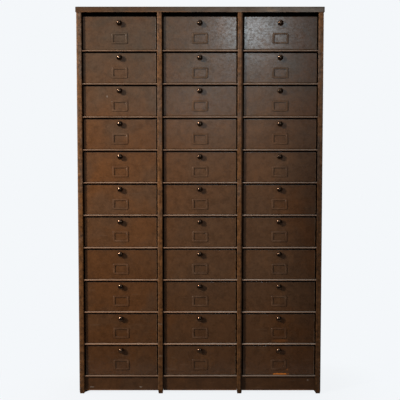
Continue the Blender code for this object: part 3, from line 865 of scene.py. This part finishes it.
def make_flap(name, tone, material):
    """A flap's pressing, with what its finish needs to know kept on its points."""
    pivot = pivots[name]
    low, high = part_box(name)
    half = (high.x - low.x) / 2
    panel = link(name + "_panel", flap_sheet(name, half, high.z, pivot))
    wall = panel.modifiers.new("wall", "SOLIDIFY")
    wall.thickness = FLAP_SHEET
    wall.offset = -1.0
    wall.use_even_offset = True
    baked(panel)
    mesh = panel.data
    mesh.materials.clear()
    mesh.materials.append(material)
    smooth(mesh, FLAP_CREASE)
    shelf = pivot.z - PIVOT_RISE
    face = pivot.y - BARREL_RADIUS
    count = len(mesh.vertices)
    seat = Vector((pivot.x, face, shelf))
    store(mesh, "flap_place", "FLOAT_VECTOR", [v.co - seat for v in mesh.vertices])
    store(mesh, "flap_half_width", "FLOAT", [half] * count)
    store(mesh, "flap_height", "FLOAT", [high.z - shelf] * count)
    store(mesh, "flap_label", "FLOAT", [label_middle(name)] * count)
    store(mesh, "flap_tone", "FLOAT", [tone] * count)
    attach(panel, name)
    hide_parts(name)


def make_fittings(name, trees, finishes):
    """A flap's knob and label holder, seated on its face."""
    pivot = pivots[name]
    face = pivot.y - BARREL_RADIUS
    shelf = pivot.z - PIVOT_RISE
    knob = grow(trees["knob"], name + "_knob", {
        "Seat": (pivot.x, face + SUNK, shelf + KNOB_HEIGHT + fitting_raise(name)),
        "Projection": KNOB_PROJECTION + SUNK, "Ball Radius": KNOB_RADIUS, "Head": KNOB_HEAD,
        "Neck Radius": KNOB_NECK, "Rosette Radius": ROSETTE_RADIUS, "Rosette Rise": ROSETTE_RISE,
        "Rings": KNOB_RINGS, "Sides": KNOB_SIDES, "Finish": finishes["knob"],
    })
    smooth(knob.data, FITTING_CREASE)
    rises = [(face - v.co.y) / KNOB_PROJECTION for v in knob.data.vertices]
    store(knob.data, "knob_rise", "FLOAT", rises)
    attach(knob, name)

    holder = grow(trees["label"], name + "_label_holder", {
        "Seat": (pivot.x, face, shelf + label_middle(name)), "Width": LABEL_WIDTH, "Height": LABEL_HEIGHT,
        "Side Rail": LABEL_SIDE_RAIL, "End Rail": LABEL_END_RAIL, "Raise": LABEL_RAISE,
        "Shoulder": LABEL_SHOULDER, "Corner": LABEL_CORNER, "Sunk": SUNK, "Finish": finishes["holder"],
    })
    smooth(holder.data, FITTING_CREASE)
    rises = [(face - v.co.y) / LABEL_RAISE for v in holder.data.vertices]
    store(holder.data, "rail_rise", "FLOAT", rises)
    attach(holder, name)


def make_welds(tree, material):
    """Spot welds where the shelves meet the sides and the back."""
    height = shelf_low - WELD_DROP
    flat = WELD_RISE / WELD_RADIUS
    for side, panel in ((-1, "left_side_panel"), (1, "right_side_panel")):
        low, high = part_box(panel)
        x = low.x if side < 0 else high.x
        welds = grow(tree, panel.replace("_panel", "_welds"), {
            "First": (x, front_y + SIDE_WELD_SETBACK, height), "Step": (0.0, SIDE_WELD_STEP, 0.0),
            "Count": SIDE_WELDS, "Row Step": (0.0, 0.0, pitch), "Rows": ROWS, "Radius": WELD_RADIUS,
            "Squash": (flat, 1.0, 1.0), "Finish": material,
        })
        smooth(welds.data, FITTING_CREASE)
        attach(welds, "carcass")
    low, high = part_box("back_panel")
    step = (high.x - low.x - 2 * BACK_WELD_INSET) / (BACK_WELDS - 1)
    welds = grow(tree, "back_welds", {
        "First": (low.x + BACK_WELD_INSET, high.y, height), "Step": (step, 0.0, 0.0),
        "Count": BACK_WELDS, "Row Step": (0.0, 0.0, pitch), "Rows": ROWS, "Radius": WELD_RADIUS,
        "Squash": (1.0, flat, 1.0), "Finish": material,
    })
    smooth(welds.data, FITTING_CREASE)
    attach(welds, "carcass")


def make_gussets(material):
    """Small plates with a hollow lower edge that tie the outer feet to the plinth."""
    for place, side, reach in GUSSETS:
        low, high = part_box(place + "_plinth")
        end = low.x if side < 0 else high.x
        outline = [(inward, z) for z, inward in SHOE_SIDE]
        heel = outline[-1][0] + 2 * SUNK
        for i in range(GUSSET_STEPS + 1):
            share = i / GUSSET_STEPS
            z = low.z - (low.z - GUSSET_FLOOR) * (1 - share) ** GUSSET_HOLLOW
            outline.append((heel + (reach - heel) * share, z))
        outline.append((reach, SHOE_SIDE[0][0]))
        bm = bmesh.new()
        rings = []
        for y in (low.y, low.y + GUSSET_SHEET):
            rings.append([bm.verts.new((end - side * inward, y, z)) for inward, z in outline])
            bm.faces.new(rings[-1])
        for i in range(len(outline)):
            bm.faces.new((rings[0][i - 1], rings[0][i], rings[1][i], rings[1][i - 1]))
        mesh = bpy.data.meshes.new(place + "_foot_gusset")
        bm.to_mesh(mesh)
        bm.free()
        closed_outward(mesh)
        mesh.materials.append(material)
        gusset = link(place + "_foot_gusset", mesh)
        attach(gusset, "carcass")


# Stage

def make_camera():
    camera = link("camera", bpy.data.cameras.new("camera"))
    camera.location = (0.0, front_y - CAMERA_AWAY, CAMERA_HEIGHT)
    camera.rotation_euler = (math.pi / 2 - CAMERA_PITCH, 0.0, 0.0)
    camera.data.sensor_width = SENSOR_WIDTH
    camera.data.lens = SENSOR_WIDTH * FOCAL_PIXELS / PHOTO_SIDE
    camera.data.clip_end = CAMERA_REACH
    bpy.context.scene.camera = camera


def hang(name, lamp, place, target, power, colour):
    """Puts a lamp in its place, turns it towards a point and lights it."""
    lamp.energy = power
    lamp.color = colour
    made = link(name, lamp)
    made.location = place
    made.rotation_euler = (Vector(target) - Vector(place)).to_track_quat("-Z", "Y").to_euler()


def make_lamp(name, place, target, size, power, colour):
    """A soft rectangular lamp turned towards a point."""
    lamp = bpy.data.lights.new(name, "AREA")
    lamp.shape = "RECTANGLE"
    lamp.size, lamp.size_y = size
    hang(name, lamp, place, target, power, colour)


def make_spot(name, place, target, angle, blend, radius, power, colour):
    """A far lamp whose round beam fades out softly at its rim."""
    lamp = bpy.data.lights.new(name, "SPOT")
    lamp.spot_size = math.radians(angle)
    lamp.spot_blend = blend
    lamp.shadow_soft_size = radius
    hang(name, lamp, place, target, power, colour)


def make_lights():
    """A warm key from the upper left, two lamps for the sheen of the upper flaps, and three fills."""
    key_place = (-10.1, front_y - 7.5, 6.3)
    key_target = (-2.55, front_y + 2.10, 0.30)
    beam = {"angle": 35.0, "blend": 0.20, "radius": 1.2}
    make_spot("key", key_place, key_target, **beam, power=8400.0, colour=WARM_LAMP)
    sheen_y = front_y - 5.9
    make_lamp("sheen", (0.53, sheen_y, 2.32), (0.3, front_y, 1.9), (0.24, 0.26), 10.5, COOL_LAMP)
    make_lamp("soft_sheen", (0.06, sheen_y, 1.60), (0.0, front_y, 1.5), (0.70, 0.50), 1.6, PALE_LAMP)
    make_lamp("right_fill", (4.2, 1.4, 1.9), (0.0, 0.2, 1.0), (2.0, 2.4), 60.0, WHITE_LAMP)
    make_lamp("left_fill", (-4.2, 1.2, 1.9), (0.0, 0.0, 1.0), (2.0, 2.4), 40.0, WHITE_LAMP)
    make_lamp("back_fill", (1.2, 4.4, 2.2), (0.0, 0.0, 1.0), (2.4, 2.4), 80.0, WHITE_LAMP)


def make_world():
    """A white backdrop, which gloss mirrors only where it lies behind the cabinet, and dim room light."""
    world = bpy.data.worlds.new("studio")
    bpy.context.scene.world = world
    world.use_nodes = True
    board = Board(world.node_tree)
    world.node_tree.nodes.clear()
    path = board.node("ShaderNodeLightPath")
    seen = path.output("Is Camera Ray")
    mirrored = path.output("Is Glossy Ray").most(path.output("Is Transmission Ray"))
    towards = board.node("ShaderNodeTexCoord", output="Generated")
    x, y, z = towards.split()
    behind = y.rise(0.0, 0.35)
    window_side = x.fall(0.15, 0.50)
    windows = 0.17 * z.rise(-0.06, 0.12) * z.fall(0.30, 0.55)
    overhead = 0.60 * z.rise(0.50, 0.75)
    room = 0.03 + (windows + overhead) * window_side
    soft = 0.26 + 0.16 * z.rise(-0.10, 0.80)
    level = seen.most(mirrored * (behind + (1 - behind) * room)).most((1 - seen) * (1 - mirrored) * soft)
    tints = {0: seen.most(mirrored), 6: (*ROOM_LIGHT, 1.0), 7: (*BACKDROP, 1.0)}
    tint = board.node("ShaderNodeMix", {"data_type": "RGBA"}, tints, 2)
    sky = board.node("ShaderNodeBackground", {}, {"Color": tint, "Strength": level})
    board.node("ShaderNodeOutputWorld", {}, {"Surface": sky})


def make_floor():
    """A pale floor that melts into the backdrop and keeps a light shadow round the cabinet."""
    bm = bmesh.new()
    front = front_y - FLOOR_BEFORE
    corners = [(-FLOOR_HALF, front, 0.0), (FLOOR_HALF, front, 0.0)]
    corners += [(FLOOR_HALF, FLOOR_BACK, 0.0), (-FLOOR_HALF, FLOOR_BACK, 0.0)]
    bm.faces.new([bm.verts.new(corner) for corner in corners])
    mesh = bpy.data.meshes.new("floor")
    bm.to_mesh(mesh)
    bm.free()
    floor = link("floor", mesh)
    f = Finish("pale_floor")
    x, y, _ = f.place().split()
    middle = (low_corner.y + high_corner.y) / 2
    beside = (abs(x) - high_corner.x).most(0.0)
    before = (abs(y - middle) - (high_corner.y - low_corner.y) / 2).most(0.0)
    away = (beside ** 2.0 + before ** 2.0).root()
    tile = f.noise(f.place(), 3.0, 2.0)
    share = away.fall(0.02, 0.45) * (0.07 + 0.02 * tile)
    path = f.node("ShaderNodeLightPath")
    glow = f.node("ShaderNodeEmission", {}, {"Color": (*BACKDROP, 1.0), "Strength": 1.0})
    matt = f.node("ShaderNodeBsdfDiffuse", {}, {"Color": (*FLOOR_PALE, 1.0)})
    shown = f.node("ShaderNodeMixShader", {}, {0: share, 1: glow, 2: matt})
    dull = f.node("ShaderNodeBsdfDiffuse", {}, {"Color": (*FLOOR_DULL, 1.0)})
    seen = path.output("Is Camera Ray")
    either = f.node("ShaderNodeMixShader", {}, {0: seen, 1: dull, 2: shown})
    f.node("ShaderNodeOutputMaterial", {}, {"Surface": either})
    mesh.materials.append(f.material)


def paint(names, material):
    for name in names:
        node = frame["nodes"][name]
        node.data.materials.clear()
        node.data.materials.append(material)


def dress_carcass():
    cap_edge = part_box("top_cap")[0].z
    plinths = [place + "_plinth" for place in COLUMNS]
    plinth_edge, plinth_top = (corner.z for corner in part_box(plinths[0]))
    paint(["top_cap"], carcass_enamel("cap_enamel", CAP_TONE, cap_edge, dust_and_sheen=True))
    worn = carcass_enamel("plinth_enamel", PLINTH_TONE, plinth_edge, PLINTH_CHIPS, shaded_top=plinth_top)
    paint(plinths, worn)
    paint(["back_panel", "left_side_panel", "right_side_panel"], carcass_enamel("panel_enamel"))
    paint(["head_rail", "left_partition", "right_partition"], inside_primer())
    paint(STILE_NAMES, stile_enamel())
    paint([f"shelf_{row:02d}" for row in range(1, ROWS + 1)], shelf_enamel())


def dress_flaps():
    trees = {"knob": knob_tree(), "label": label_tree()}
    finishes = {"knob": knob_bronze(), "holder": holder_enamel()}
    enamel = flap_enamel()
    draw = random.Random(FLAP_TONE_SEED)
    for place in COLUMNS:
        for row in range(1, ROWS + 1):
            name = f"{place}_flap_{row:02d}"
            make_flap(name, draw.uniform(*FLAP_TONES), enamel)
            make_fittings(name, trees, finishes)


bpy.context.scene.view_settings.view_transform = "Standard"
make_camera()
make_lights()
make_world()
make_floor()
dress_carcass()
dress_flaps()
make_welds(weld_tree(), weld_enamel())
make_gussets(carcass_enamel("gusset_enamel", GUSSET_SHADE_TONE))
